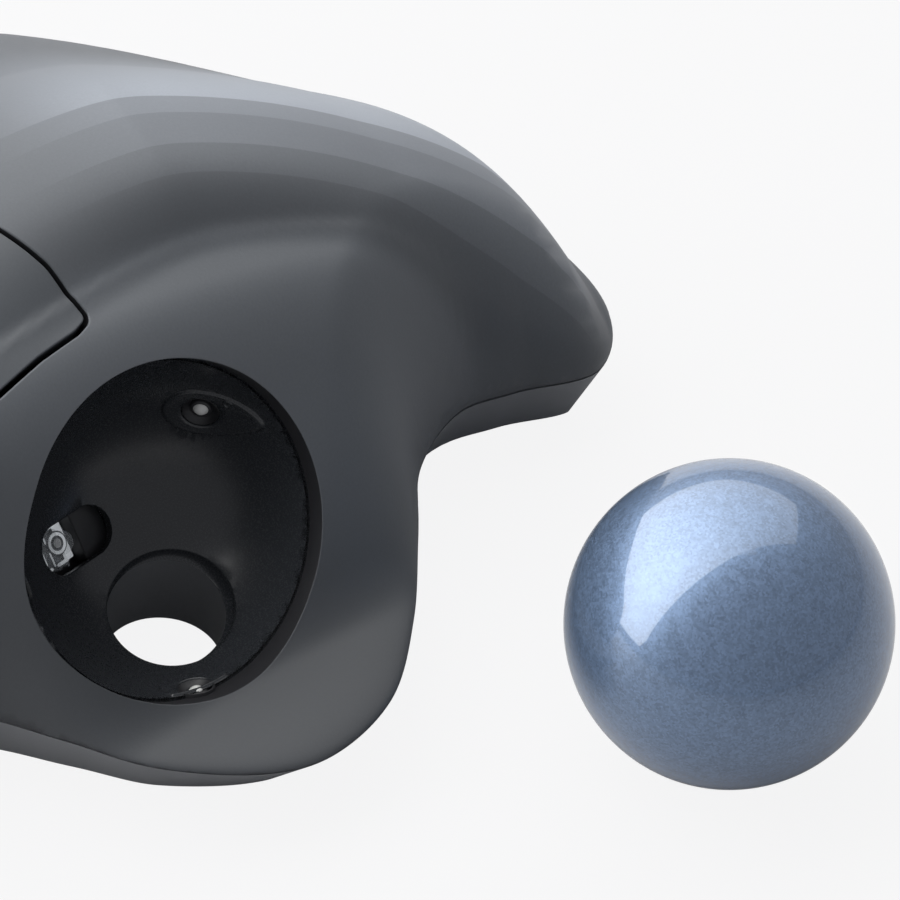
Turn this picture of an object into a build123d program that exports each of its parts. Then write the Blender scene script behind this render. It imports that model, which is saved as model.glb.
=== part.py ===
"""Wireless thumb-operated trackball mouse, taken apart piece by piece. Millimetres, +Z up, +Y to the front.

The origin lies on the desk, in the middle of the mouse's own footprint, under its middle foot.
The ball is out of its socket and lies on the desk at the mouse's left rear.
"""

import math
import os

from build123d import *

# ---- driving dimensions -------------------------------------------------------------------------
SEAM_Z = 10.0            # plane where the upper and lower cases meet
CROWN_Z = 48.0           # highest point of the palm rest
UNDERSIDE_Z = 0.7        # flat underside, above the feet
FLOOR_TOP_Z = 2.7        # inside of the lower case's floor
WALL = 2.2               # upper case wall
EDGE_ROUND = 11.0        # how far in from the outline the upper case rolls over
CLEAR = 0.45             # gap round each key
BALL_R = 17.0            # 34 mm ball
BOWL_R = 17.5            # inside of the socket
BOWL_WALL = 1.5
MOUTH_R = 17.7           # round mouth in the upper case
SEAT = Vector(-27.5, -7.0, 25.0)                    # centre of the seated ball
MOUTH_DIR = Vector(-0.785, -0.176, 0.594).normalized()   # the way the socket opens
BALL_REST = Vector(-54.7, -57.3, BALL_R)            # where the loose ball lies
HOLE_XY = (-24.2, -9.0)  # ejection hole's axis
HOLE_R = 6.4
WHEEL_C = Vector(15.0, 33.0, 33.6)
WHEEL_R = 12.0
TYRE_W = 6.8
BOARD_Z = 14.0           # underside of the main board
BOARD_T = 1.6
BATTERY_R = 7.2          # AA cell
BATTERY_L = 50.0
BATTERY_C = Vector(15.0, -17.5, 10.1)
FEET = {                 # name: (x, y, radius)
    "foot_middle": (0.0, 0.0, 3.0),
    "foot_thumb_side": (-38.0, -12.0, 4.0),
    "foot_front_left": (-12.0, 50.0, 4.0),
    "foot_front_right": (36.0, 47.0, 4.0),
    "foot_rear_right": (37.0, -28.0, 4.0),
    "foot_rear_left": (-3.5, -50.0, 3.0),
}
# Plan outline at the seam, clockwise from the front left, the thumb wing last.
OUTLINE = [
    (-8, 64.5), (12, 67), (33, 64), (45, 52), (48.5, 30), (50, 5), (49.5, -18), (44, -38), (31, -54),
    (13, -65), (-3, -69.3), (-12, -64.8), (-11.6, -55), (-12, -48), (-17.5, -41), (-26, -36.5),
    (-36, -31), (-45, -24), (-49.6, -15), (-49, -7), (-44, 2.5), (-37, 9.5), (-30, 17),
    (-24.5, 28), (-22.5, 44), (-18.5, 57),
]
SECTION_POINTS = 13      # across each section of the upper body
BAYS = 18                # along its length
PARTS = {}


# ---- the outer form as a height over the plan --------------------------------------------------
def clip(value, low, high):
    return max(low, min(high, value))


def soft_min(a, b, reach):
    mix = clip(0.5 + 0.5 * (b - a) / reach, 0, 1)
    return b * (1 - mix) + a * mix - reach * mix * (1 - mix)


def soft_max(a, b, reach):
    return -soft_min(-a, -b, reach)


def ridge(y):
    """Height of the palm rest's ridge: two quarter ellipses, the rear one shorter."""
    reach = 68.5 if y < 0 else 80.0
    return SEAM_Z + (CROWN_Z - SEAM_Z) * math.sqrt(1 - clip(abs(y / reach), 0, 0.985) ** 2)


def crease_x(y):
    """Where the palm rest's side meets the thumb shelf."""
    if y < -22:
        return -5 - 0.0045 * (y + 22) ** 2
    return -5 - 0.36 * (y + 22) ** 2 / (y + 34)


def palm(x, y):
    middle = 4.5 - 0.08 * max(-20 - y, 0)
    dome = 5.3 - 2.4 * clip((-18 - y) / 27, 0, 1)
    side = x - middle
    if side < 0:
        fall = dome * (-side / (middle - crease_x(y))) ** 2.4
    else:
        bend = 0.018 + 0.008 * clip((-15 - y) / 40, 0, 1)
        fall = bend * side**2 if side < 20 else bend * (400 + 34 * (side - 20))
    return ridge(y) - 5.3 + dome - fall


def thumb_shelf(x, y):
    off = crease_x(y) - x
    return ridge(y) - 5.3 - (0.2 * off if off > 0 else -0.9 * off)


def socket_plane(x, y):
    return SEAT.Z - (MOUTH_DIR.X * (x - SEAT.X) + MOUTH_DIR.Y * (y - SEAT.Y)) / MOUTH_DIR.Z


def form(x, y):
    top = soft_max(palm(x, y), thumb_shelf(x, y), 2.4)
    return soft_max(soft_min(top, socket_plane(x, y), 5.0), SEAM_Z + 1.5, 4.0)


def inset_outline(inset):
    """The outline's points moved in along their normals."""
    moved = []
    count = len(OUTLINE)
    for i, (x, y) in enumerate(OUTLINE):
        (ax, ay), (bx, by) = OUTLINE[i - 1], OUTLINE[(i + 1) % count]
        run = math.hypot(bx - ax, by - ay)
        moved.append((x + inset * (by - ay) / run, y - inset * (bx - ax) / run))
    return moved


def dense(points, steps=6):
    """Points along the smooth closed curve through the given ones."""
    result = []
    count = len(points)
    for i in range(count):
        p0, p1, p2, p3 = (points[(i + k) % count] for k in (-1, 0, 1, 2))
        for step in range(steps):
            t = step / steps
            result.append(tuple(
                0.5 * (2 * b + (c - a) * t + (2 * a - 5 * b + 4 * c - d) * t**2
                       + (3 * b - a - 3 * c + d) * t**3)
                for a, b, c, d in zip(p0, p1, p2, p3)))
    return result


def edge_gap(x, y, fence):
    """Distance to the fence, a closed polygon in plan."""
    best = 1e9
    for (ax, ay), (bx, by) in zip(fence, fence[1:] + fence[:1]):
        dx, dy = bx - ax, by - ay
        t = clip(((x - ax) * dx + (y - ay) * dy) / (dx * dx + dy * dy), 0, 1)
        best = min(best, math.hypot(x - ax - t * dx, y - ay - t * dy))
    return best


def span(y, fence):
    """Leftmost and rightmost x of the fence at y."""
    hits = []
    for (ax, ay), (bx, by) in zip(fence, fence[1:] + fence[:1]):
        if (ay > y) != (by > y):
            hits.append(ax + (bx - ax) * (y - ay) / (by - ay))
    return min(hits), max(hits)


def section(y, fence, drop, base_z):
    """Cross-section of the upper body at y: flat underneath, and rolled over towards both edges."""
    left, right = span(y, fence)
    points = []
    for i in range(SECTION_POINTS):
        t = i / (SECTION_POINTS - 1)
        x = left + (right - left) * (0.35 * t + 0.65 * (1 - math.cos(math.pi * t)) / 2)
        near = clip(edge_gap(x, y, fence) / EDGE_ROUND, 0, 1)
        roll = math.sqrt(1 - (1 - near) ** 2)
        slope = math.hypot(form(x + 1, y) - form(x - 1, y), form(x, y + 1) - form(x, y - 1)) / 2
        rise = form(x, y) - drop * min(math.hypot(1, slope), 1.8) - SEAM_Z
        points.append(Vector(x, y, SEAM_Z + max(rise, 0.4) * roll))
    points[0].Z = points[-1].Z = SEAM_Z
    feet = [Vector(points[-1].X, y, base_z), Vector(points[0].X, y, base_z)]
    lid = Edge.make_spline(points)
    if base_z == SEAM_Z:
        return Wire([lid, Edge.make_line(points[-1], points[0])])
    return Wire([lid, Edge.make_line(points[-1], feet[0]), Edge.make_line(*feet), Edge.make_line(feet[1], points[0])])


def upper_body(inset, drop, base_z):
    """Solid under the outer surface, in ruled bays from the rear to the front."""
    fence = dense(inset_outline(inset))
    rear, front = (pick(y for _, y in fence) for pick in (min, max))
    middle, half = (rear + front) / 2, (front - rear) / 2 - 0.4
    stations = [middle - half * math.cos(math.pi * (0.12 + 0.76 * k / BAYS)) / math.cos(math.pi * 0.12)
                for k in range(BAYS + 1)]
    return Solid.make_loft([section(y, fence, drop, base_z) for y in stations], ruled=True)


def plan_face(inset, z):
    return Face(Wire([Edge.make_spline([Vector(x, y, z) for x, y in inset_outline(inset)], periodic=True)]))


# ---- small helpers ------------------------------------------------------------------------------
def keep(name, *shapes):
    """Writes one node. Touching solids are joined, and loose ones stay separate in the node."""
    whole = shapes[0]
    for shape in shapes[1:]:
        whole = whole + shape
    PARTS[name] = whole
    return whole


def box(x0, x1, y0, y1, z0, z1):
    return Pos((x0 + x1) / 2, (y0 + y1) / 2, (z0 + z1) / 2) * Box(x1 - x0, y1 - y0, z1 - z0)


def pillar(x, y, z0, z1, r, bore=0.0):
    """Upright round post, or a tube when it has a bore."""
    post = Pos(x, y, (z0 + z1) / 2) * Cylinder(r, z1 - z0)
    return post - Pos(x, y, (z0 + z1) / 2) * Cylinder(bore, z1 - z0 + 2) if bore else post


def along(start, direction, near, far, r):
    """Round bar on a line from start, between two distances along it."""
    plane = Plane(origin=start + direction * near, z_dir=direction)
    return extrude(plane * Circle(r), far - near)


def shaft(x0, x1, y, z, r):
    """Round bar along X."""
    return Pos((x0 + x1) / 2, y, z) * Rot(0, 90, 0) * Cylinder(r, x1 - x0)


def rounded(points, r):
    """Closed polygon with rounded corners, in plan."""
    outline = make_face(Polyline(*points, close=True))
    return fillet(outline.vertices(), r)


def block_on(plane, width, depth, near, far):
    """Flat block on a tilted plane, between two heights above it."""
    return extrude(plane.offset(near) * Rectangle(width, depth), far - near)


# ---- cases and keys -----------------------------------------------------------------------------
LEFT_KEY = [
    (-11.2, -3.5), (-6, -1.3), (-1, 2), (10.2, 4.6), (10.2, 80), (-11.5, 80), (-12.5, 50), (-15.5, 43),
    (-15.7, 18), (-16.7, 9.6), (-14, 3.3), (-12.3, -1.7),
]
RIGHT_KEY = [(19.8, 4.6), (32, 2.4), (44.2, -2.5), (43.8, 30), (40.5, 47), (36, 80), (19.8, 80)]
KEY_LIP_Z = 14.5         # lower edge of the keys at the front
KEY_DROP = 1.6           # room under that edge
SIDE_KEYS = {"back_button": (21.5, 32.5), "forward_button": (34.0, 45.0)}
SIDE_KEY_X = (-20.9, -16.3)
KEY_POSTS = {"left_button": (-1.0, 44.0), "right_button": (30.0, 44.0)}
SIDE_POST_X = -17.3
CASE_SCREWS = [(-5.5, -38.0), (41.0, -18.0), (31.0, 56.6), (-5.5, 57.0)]
BOARD_SCREWS = [(-10.5, 17.5), (37.5, 17.5), (-9.5, 48.0), (37.3, 40.0)]
BOARD_TOP_Z = BOARD_Z + BOARD_T
DOOR_X = (5.0, 32.5)
DOOR_FRONT_Y = 11.0
DOOR_TOP_Z = 2.2

outer = upper_body(0, 0, SEAM_Z)
cavity = upper_body(WALL, WALL, SEAM_Z - 1)
lip_plane = Plane(origin=SEAT - MOUTH_DIR * (WALL + 0.2), z_dir=MOUTH_DIR)


def below_lip(radius):
    """The seat's sphere up to the lip of the socket."""
    return Pos(*SEAT) * Sphere(radius) - extrude(lip_plane * Rectangle(60, 60), 40)


skin = outer - along(SEAT, MOUTH_DIR, -6, 25, MOUTH_R) - below_lip(BOWL_R + BOWL_WALL + 0.1) - cavity


def key_prism(points, grow, low):
    """Upright prism on a key's outline, grown all round."""
    plan = rounded(points, 0.7)
    return extrude(Plane.XY.offset(low) * (offset(plan, amount=grow) if grow else plan), 60)


def side_prism(y0, y1, grow):
    left, right = SIDE_KEY_X
    plan = Rectangle(right - left + 2 * grow, y1 - y0 + 2 * grow)
    return Pos((left + right) / 2, (y0 + y1) / 2, 21.4 - 2.4 * grow) * extrude(fillet(plan.vertices(), 1.2), 40)


wheel_slot = box(10.65, 19.35, 20.3, 45.7, 26, 60)
for name, points in (("left_button", LEFT_KEY), ("right_button", RIGHT_KEY)):
    x, y = KEY_POSTS[name]
    cap = (skin & key_prism(points, 0, KEY_LIP_Z)) - wheel_slot
    post = pillar(x, y, BOARD_TOP_Z + 8.3, 60, 2.0) & outer
    keep(name, cap, post)
for name, (y0, y1) in SIDE_KEYS.items():
    post = pillar(SIDE_POST_X, (y0 + y1) / 2, BOARD_TOP_Z + 6.0, 60, 1.0) & outer
    keep(name, skin & side_prism(y0, y1, 0), post)

case = skin
for x, y in CASE_SCREWS:
    top = 60 if y < 0 else KEY_LIP_Z - KEY_DROP
    rib = box(x - 1.5, x + 1.5, *sorted((y, 80 if y > 0 else -80)), SEAM_Z, KEY_LIP_Z - KEY_DROP)
    case = case + (pillar(x, y, SEAM_Z, top, 3.2) & outer) + (rib & outer)
for points in (LEFT_KEY, RIGHT_KEY):
    case = case - key_prism(points, CLEAR, KEY_LIP_Z - KEY_DROP)
for y0, y1 in SIDE_KEYS.values():
    case = case - side_prism(y0, y1, CLEAR)
case = case - wheel_slot
for x, y in CASE_SCREWS:
    case = case - pillar(x, y, SEAM_Z - 1, SEAM_Z + (2.4 if y > 0 else 6.5), 1.0)

SPOT = Vector(15.0, 17.0, 0)
case = case - pillar(SPOT.X, SPOT.Y, 20, 60, 1.2)
keep("status_light_pipe", pillar(SPOT.X, SPOT.Y, BOARD_TOP_Z + 1.2, 60, 1.2) & outer)
keep("status_lamp", box(SPOT.X - 1.5, SPOT.X + 1.5, SPOT.Y - 0.8, SPOT.Y + 0.8, BOARD_TOP_Z, BOARD_TOP_Z + 0.9))

TUCK = 4.0               # how far the lower case tapers in towards the desk
tub = Solid.make_loft([plan_face(TUCK, UNDERSIDE_Z).outer_wire(), plan_face(0, SEAM_Z).outer_wire()], ruled=True)
hollow = Solid.make_loft(
    [plan_face(TUCK + 1.4, FLOOR_TOP_Z).outer_wire(), plan_face(1.8, SEAM_Z + 0.1).outer_wire()], ruled=True)
lower = tub - hollow
for x, y in CASE_SCREWS:
    lower = lower + (pillar(x, y, UNDERSIDE_Z, SEAM_Z, 3.2) & tub)
for x, y in BOARD_SCREWS:
    lower = lower + pillar(x, y, FLOOR_TOP_Z - 0.5, BOARD_Z, 2.4)
collar = pillar(*HOLE_XY, UNDERSIDE_Z, 16, HOLE_R + 1.5)
lower = lower + (collar - Pos(*SEAT) * Sphere(BOWL_R + BOWL_WALL + 0.05))
lower = lower - pillar(*HOLE_XY, -1, 30, HOLE_R)
lower = lower - box(DOOR_X[0] - 0.15, DOOR_X[1] + 0.15, -80, DOOR_FRONT_Y + 0.15, -1, FLOOR_TOP_Z)
for x, y in CASE_SCREWS:
    lower = lower - pillar(x, y, -1, 5, 2.7) - pillar(x, y, 4, SEAM_Z + 1, 1.2)
for x, y in BOARD_SCREWS:
    lower = lower - pillar(x, y, 6, BOARD_Z + 1, 0.8)
for name, (x, y, r) in FEET.items():
    lower = lower - pillar(x, y, -1, 1.4, r)
    keep(name, pillar(x, y, 0, 1.4, r))

KNOB_Y, KNOB_X = 30.0, -12.0
lower = lower - box(KNOB_X - 4, KNOB_X + 6, KNOB_Y - 2.5, KNOB_Y + 2.5, -1, 1.8)
lower = lower - box(KNOB_X - 2, KNOB_X + 4, KNOB_Y - 0.9, KNOB_Y + 0.9, -1, 3)
keep("power_switch_knob",
     box(KNOB_X - 2.5, KNOB_X + 2.5, KNOB_Y - 2.1, KNOB_Y + 2.1, UNDERSIDE_Z + 0.1, 1.7),
     box(KNOB_X - 0.9, KNOB_X + 0.9, KNOB_Y - 0.6, KNOB_Y + 0.6, 1.7, 4.0))
keep("power_switch", box(KNOB_X - 3.5, KNOB_X + 5.5, KNOB_Y - 3, KNOB_Y + 3, FLOOR_TOP_Z, 6.7)
     - box(KNOB_X - 2.2, KNOB_X + 4.2, KNOB_Y - 1.1, KNOB_Y + 1.1, 2, 4.4))
PAIR_XY = (-4.5, 22.5)
lower = lower - pillar(*PAIR_XY, -1, 5, 2.8)
keep("pairing_button", pillar(*PAIR_XY, UNDERSIDE_Z + 0.1, 3.2, 2.4), pillar(*PAIR_XY, 2.9, 3.5, 3.3),
     pillar(*PAIR_XY, 3.4, 8.9, 1.2))
keep("pairing_switch", pillar(*PAIR_XY, 9.8, 11, 1.4),
     box(PAIR_XY[0] - 3, PAIR_XY[0] + 3, PAIR_XY[1] - 3, PAIR_XY[1] + 3, 10.6, BOARD_Z))

# ---- ball, socket, bearings and sensor ---------------------------------------------------------
BEARINGS = {             # direction from the seat's centre
    "upper": Vector(14.5, -9.8, -0.3).normalized(),
    "lower": Vector(-7.97, 0.66, -15.6).normalized(),
    "front": Vector(5.5, 14.5, -8.0).normalized(),
}
EYE_DIR = Vector(0.697, 0.291, -0.657).normalized()
EYE_LONG = Vector(0.339, -0.939, -0.056)
eye = Plane(origin=SEAT, x_dir=EYE_LONG, z_dir=EYE_DIR)
bowl = below_lip(BOWL_R + BOWL_WALL) - Pos(*SEAT) * Sphere(BOWL_R)
for way in BEARINGS.values():
    bowl = bowl - along(SEAT, way, 15.5, 20.5, 2.0)
bowl = (bowl & cavity) + (bowl & box(-60, 10, -40, 30, 0, SEAM_Z - 1))
bowl = bowl - pillar(*HOLE_XY, -1, 30, HOLE_R + 0.5)
bowl = bowl - extrude(eye.offset(15) * SlotOverall(10, 5.4), 6)
for name, way in BEARINGS.items():
    case = case - along(SEAT, way, 17, 21, 2.1)
    seat = Plane(origin=SEAT, z_dir=way)
    ball_at = SEAT + way * (BALL_R + 0.15 + 0.95)
    cup = along(SEAT, way, BOWL_R - 0.1, BOWL_R + 3.0, 2.0)
    cup = cup - seat.offset(BOWL_R + 0.2) * Cone(1.6, 1.0, 1.0) - Pos(*ball_at) * Sphere(0.98)
    keep(f"bearing_cup_{name}", cup)
    keep(f"bearing_ball_{name}", Pos(*ball_at) * Sphere(0.95))
keep("ball_socket", bowl)
keep("ball", Pos(*BALL_REST) * Sphere(BALL_R))
lens = block_on(eye, 12, 8.6, BOWL_R + BOWL_WALL + 0.05, 21.4)
lens = lens + (eye.offset(21.4 - 4.6) * Sphere(2.6) & block_on(eye, 12, 8.6, 17.9, 21.4))
keep("sensor_lens", lens)
keep("sensor_chip", block_on(eye, 9.5, 7.6, 21.4, 23.6))
keep("sensor_board", block_on(eye, 14.5, 10.5, 23.6, 24.8))

# ---- main board and switches --------------------------------------------------------------------
board = extrude(Plane.XY.offset(BOARD_Z) * rounded(
    [(-19.5, 22), (-8, 13.5), (41, 13.5), (41, 43), (34.5, 51.5), (-10.5, 52), (-19, 45)], 1.5), BOARD_T)
for x, y in BOARD_SCREWS:
    board = board - pillar(x, y, BOARD_Z - 1, BOARD_Z + 3, 1.0)
keep("main_board", board)
keep("board_screws", *(pillar(x, y, 7, BOARD_TOP_Z, 0.8) + pillar(x, y, BOARD_TOP_Z, BOARD_TOP_Z + 1.3, 1.8)
                       for x, y in BOARD_SCREWS))
keep("case_screws", *(pillar(x, y, 5, SEAM_Z + (2.2 if y > 0 else 6.0), 1.0) + pillar(x, y, 3.2, 5, 2.4)
                      for x, y in CASE_SCREWS))
keep("radio_chip", box(25, 31, 24, 30, BOARD_TOP_Z, BOARD_TOP_Z + 1.0))
for name, (x, y) in {"left_click_switch": KEY_POSTS["left_button"],
                     "right_click_switch": KEY_POSTS["right_button"]}.items():
    keep(name, box(x - 2.9, x + 2.9, y - 6.4, y + 6.4, BOARD_TOP_Z, BOARD_TOP_Z + 6.5),
         box(x - 0.6, x + 0.6, y - 1.1, y + 1.1, BOARD_TOP_Z + 6.5, BOARD_TOP_Z + 7.1))
for name, (y0, y1) in SIDE_KEYS.items():
    y = (y0 + y1) / 2
    keep(name.replace("button", "switch"), box(-18.6, -14.0, y - 3, y + 3, BOARD_TOP_Z, BOARD_TOP_Z + 4.2),
         pillar(SIDE_POST_X, y, BOARD_TOP_Z + 4.2, BOARD_TOP_Z + 5.0, 1.1))
keep("wheel_click_switch", box(12, 18, 30, 36, BOARD_TOP_Z, BOARD_TOP_Z + 2.6),
     pillar(15, 33, BOARD_TOP_Z + 2.6, BOARD_TOP_Z + 3.2, 1.4))

# ---- scroll wheel -------------------------------------------------------------------------------
keep("wheel_guide", box(7.6, 22.4, 26, 40, BOARD_TOP_Z, BOARD_TOP_Z + 1.2)
     - box(9.0, 21.0, 28, 38, BOARD_TOP_Z - 1, BOARD_TOP_Z + 3),
     box(7.6, 9.0, 28.5, 37.5, BOARD_TOP_Z, 30), box(21.0, 22.4, 28.5, 37.5, BOARD_TOP_Z, 30))
yoke = box(9.4, 20.6, 29.5, 36.5, 19.6, 21.0)
for x0, x1 in ((9.4, 10.6), (19.4, 20.6)):
    yoke = yoke + box(x0, x1, 30.0, 36.0, 19.6, 35.2)
yoke = yoke - shaft(0, 30, WHEEL_C.Y, WHEEL_C.Z, 1.05)
keep("wheel_yoke", yoke)
keep("scroll_encoder", box(5.0, 9.4, 29.5, 36.5, 30.6, 36.6) - shaft(0, 30, WHEEL_C.Y, WHEEL_C.Z, 1.05))
keep("wheel_axle", shaft(5.6, 21.4, WHEEL_C.Y, WHEEL_C.Z, 1.0))
half_tyre = TYRE_W / 2
hub = shaft(WHEEL_C.X - 2.9, WHEEL_C.X + 2.9, WHEEL_C.Y, WHEEL_C.Z, 9.6)
keep("scroll_wheel", hub - shaft(0, 30, WHEEL_C.Y, WHEEL_C.Z, 1.0))
tyre = shaft(WHEEL_C.X - half_tyre, WHEEL_C.X + half_tyre, WHEEL_C.Y, WHEEL_C.Z, WHEEL_R)
tyre = chamfer(tyre.edges().filter_by(GeomType.CIRCLE), 1.0)
keep("wheel_tyre", tyre - shaft(0, 30, WHEEL_C.Y, WHEEL_C.Z, 9.6))

# ---- battery, its bay and door, and the stored receiver ----------------------------------------
bay = box(6.3, 32.4, -45, 10.2, DOOR_TOP_Z + 0.2, 19)
bay = bay - box(7.5, 22.5, -44, 9, 0, 17.8)
bay = bay - box(24.6, 31.0, -13, 9, 0, 17.8) - box(24.6, 40, -50, -15, 0, 30)
keep("battery_bay", bay)
cell = Pos(*BATTERY_C) * Rot(90, 0, 0) * Cylinder(BATTERY_R, BATTERY_L - 1.5)
nub = Pos(BATTERY_C.X, BATTERY_C.Y + BATTERY_L / 2 - 0.2, BATTERY_C.Z) * Rot(90, 0, 0) * Cylinder(2.7, 1.1)
keep("battery", cell, nub)
keep("battery_contact_plus", box(10.5, 19.5, 7.85, 8.15, 5, 15.5), box(13.5, 16.5, 8.15, 9, 9, 11.5))
keep("battery_spring", box(10.5, 19.5, -44, -43.7, 5, 15.5),
     Pos(BATTERY_C.X, -42.73, BATTERY_C.Z) * Rot(90, 0, 0) * Cone(3.4, 2.2, 1.94))
keep("receiver", box(24.8, 30.8, -12.6, -4.6, DOOR_TOP_Z + 0.6, 16.8))
keep("receiver_plug", box(25.55, 30.05, -4.6, 7.4, DOOR_TOP_Z + 1.6, 15.6))
keep("battery_door", tub & box(*DOOR_X, -80, DOOR_FRONT_Y, -1, DOOR_TOP_Z))

keep("bottom_shell", lower)
keep("top_shell", case)

os.makedirs("parts", exist_ok=True)
for name, shape in PARTS.items():
    export_step(shape, f"parts/{name}.step")
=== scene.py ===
"""Trackball mouse with its ball lifted out, on a white table under a big softbox."""

import math

import bmesh
import bpy
import numpy as np
from mathutils import Matrix, Vector, geometry


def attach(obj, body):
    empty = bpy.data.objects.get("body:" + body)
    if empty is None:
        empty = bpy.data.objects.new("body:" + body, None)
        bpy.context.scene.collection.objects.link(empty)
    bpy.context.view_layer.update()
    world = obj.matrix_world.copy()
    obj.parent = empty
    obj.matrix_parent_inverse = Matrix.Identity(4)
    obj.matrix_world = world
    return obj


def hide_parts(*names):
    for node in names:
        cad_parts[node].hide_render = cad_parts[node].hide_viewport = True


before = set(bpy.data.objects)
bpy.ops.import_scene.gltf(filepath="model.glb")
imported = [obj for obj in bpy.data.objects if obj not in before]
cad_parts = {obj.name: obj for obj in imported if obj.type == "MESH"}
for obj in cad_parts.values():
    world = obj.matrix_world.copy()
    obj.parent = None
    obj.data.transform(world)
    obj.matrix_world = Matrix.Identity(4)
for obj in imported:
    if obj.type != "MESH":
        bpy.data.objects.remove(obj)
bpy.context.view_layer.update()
MM = 0.001

# ---- the way the camera looks --------------------------------------------------------------------
LENS_SIDE = np.array([-0.447, -0.892, 0.071])
LENS_UP = np.array([0.677, -0.285, 0.678])
LENS_BACK = np.array([-0.585, 0.351, 0.731])
VIEW_CENTRE = (-34.3, -34.2, 32.6)
VIEW_WIDTH = 91.8

# ---- the object's own measurements, in millimetres -----------------------------------------------
SEAM = 10.0
CROWN = 48.0
ROLL = 11.0                      # width of the rolled edge
SEAT = np.array([-27.5, -7.0, 25.0])
OPEN = np.array([-0.785, -0.176, 0.594])
OPEN /= np.linalg.norm(OPEN)
BOWL_R = 17.5
MOUTH_R = 17.7
BALL = np.array([-54.7, -57.3, 17.0])
HOLE = np.array([-24.2, -9.0])
HOLE_R = 6.4
WHEEL = np.array([15.0, 33.0, 33.6])
OUTLINE = [
    (-8, 64.5), (12, 67), (33, 64), (45, 52), (48.5, 30), (50, 5), (49.5, -18), (44, -38), (31, -54),
    (13, -65), (-3, -69.3), (-12, -64.8), (-11.6, -55), (-12, -48), (-17.5, -41), (-26, -36.5),
    (-36, -31), (-45, -24), (-49.6, -15), (-49, -7), (-44, 2.5), (-37, 9.5), (-30, 17),
    (-24.5, 28), (-22.5, 44), (-18.5, 57),
]
LEFT_KEY = [
    (-11.2, -3.5), (-6, -1.3), (-1, 2), (10.2, 4.6), (10.2, 80), (-11.5, 80), (-12.5, 50), (-15.5, 43),
    (-15.7, 18), (-16.7, 9.6), (-14, 3.3), (-12.3, -1.7),
]
RIGHT_KEY = [(19.8, 4.6), (32, 2.4), (44.2, -2.5), (43.8, 30), (40.5, 47), (36, 80), (19.8, 80)]
SIDE_KEYS = {"back_button": (21.5, 32.5), "forward_button": (34.0, 45.0)}
SIDE_KEY_X = (-20.9, -16.3)
GAP = 0.55
KEY_LIP = 14.5
KEY_DROP = 1.6
LIP_STEPS = 5                    # steps round a rounded edge
UNDERSIDE_Z = 0.7                # of the lower case, held off the table by the feet
BEAD_R = 0.95                    # bearing balls
BALL_R = 17.0
DOOR_ROOM = 0.3                  # gap round the battery door
LIGHT = (15.0, 17.0)


# ---- outer form ----------------------------------------------------------------------------------
def soft_min(a, b, reach):
    mix = np.clip(0.5 + 0.5 * (b - a) / reach, 0, 1)
    return b * (1 - mix) + a * mix - reach * mix * (1 - mix)


def soft_max(a, b, reach):
    return -soft_min(-a, -b, reach)


def ridge(y):
    reach = np.where(y < 0, 68.5, 80.0)
    return SEAM + (CROWN - SEAM) * np.sqrt(1 - np.clip(np.abs(y / reach), 0, 0.985) ** 2)


def crease_x(y):
    ahead = np.maximum(y + 22, 0)
    return -5 - np.where(y < -22, 0.0045 * (y + 22) ** 2, 0.36 * ahead**2 / (ahead + 12))


def palm(x, y):
    middle = 4.5 - 0.08 * np.maximum(-20 - y, 0)
    dome = 5.3 - 2.4 * np.clip((-18 - y) / 27, 0, 1)
    side = x - middle
    left = dome * (np.maximum(-side, 0) / (middle - crease_x(y))) ** 2.4
    bend = 0.018 + 0.008 * np.clip((-15 - y) / 40, 0, 1)
    right = bend * np.where(side < 20, side**2, 400 + 34 * (side - 20))
    return ridge(y) - 5.3 + dome - np.where(side < 0, left, right)


def thumb_shelf(x, y):
    off = crease_x(y) - x
    return ridge(y) - 5.3 - np.where(off > 0, 0.2 * off, -0.9 * off)


def form(x, y):
    plane = SEAT[2] - (OPEN[0] * (x - SEAT[0]) + OPEN[1] * (y - SEAT[1])) / OPEN[2]
    top = soft_max(palm(x, y), thumb_shelf(x, y), 2.4)
    return soft_max(soft_min(top, plane, 5.0), SEAM + 1.5 + 0 * x, 4.0)


def smooth_loop(points, step):
    """Evenly spaced points along the smooth closed curve through the given ones."""
    p = np.array(points, float)
    before, after, beyond = np.roll(p, 1, 0), np.roll(p, -1, 0), np.roll(p, -2, 0)
    t = np.arange(40)[None, :, None] / 40
    a, b, c, d = (v[:, None, :] for v in (before, p, after, beyond))
    curve = 0.5 * (2 * b + (c - a) * t + (2 * a - 5 * b + 4 * c - d) * t**2 + (3 * b - a - 3 * c + d) * t**3)
    return evenly(curve.reshape(-1, 2), step)


def evenly(loop, step):
    closed = np.vstack([loop, loop[:1]])
    run = np.concatenate([[0], np.cumsum(np.linalg.norm(np.diff(closed, axis=0), axis=1))])
    at = np.linspace(0, run[-1], max(8, round(run[-1] / step)) + 1)[:-1]
    return np.stack([np.interp(at, run, closed[:, k]) for k in range(closed.shape[1])], 1)


def rounded(points, r, step):
    """Closed polygon with rounded corners."""
    p = np.array(points, float)
    loop = []
    for before, corner, after in zip(np.roll(p, 1, 0), p, np.roll(p, -1, 0)):
        a, b = before - corner, after - corner
        a, b = a / np.linalg.norm(a), b / np.linalg.norm(b)
        half = math.acos(np.clip(a.dot(b), -1, 1)) / 2
        if half > 1.5:
            loop.append(corner)
            continue
        centre = corner + (a + b) / np.linalg.norm(a + b) * r / math.sin(half)
        start, end = corner + a * r / math.tan(half), corner + b * r / math.tan(half)
        for t in np.linspace(0, 1, 9):
            way = (start - centre) * (1 - t) + (end - centre) * t
            loop.append(centre + way / np.linalg.norm(way) * r)
    return evenly(np.array(loop), step)


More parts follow.
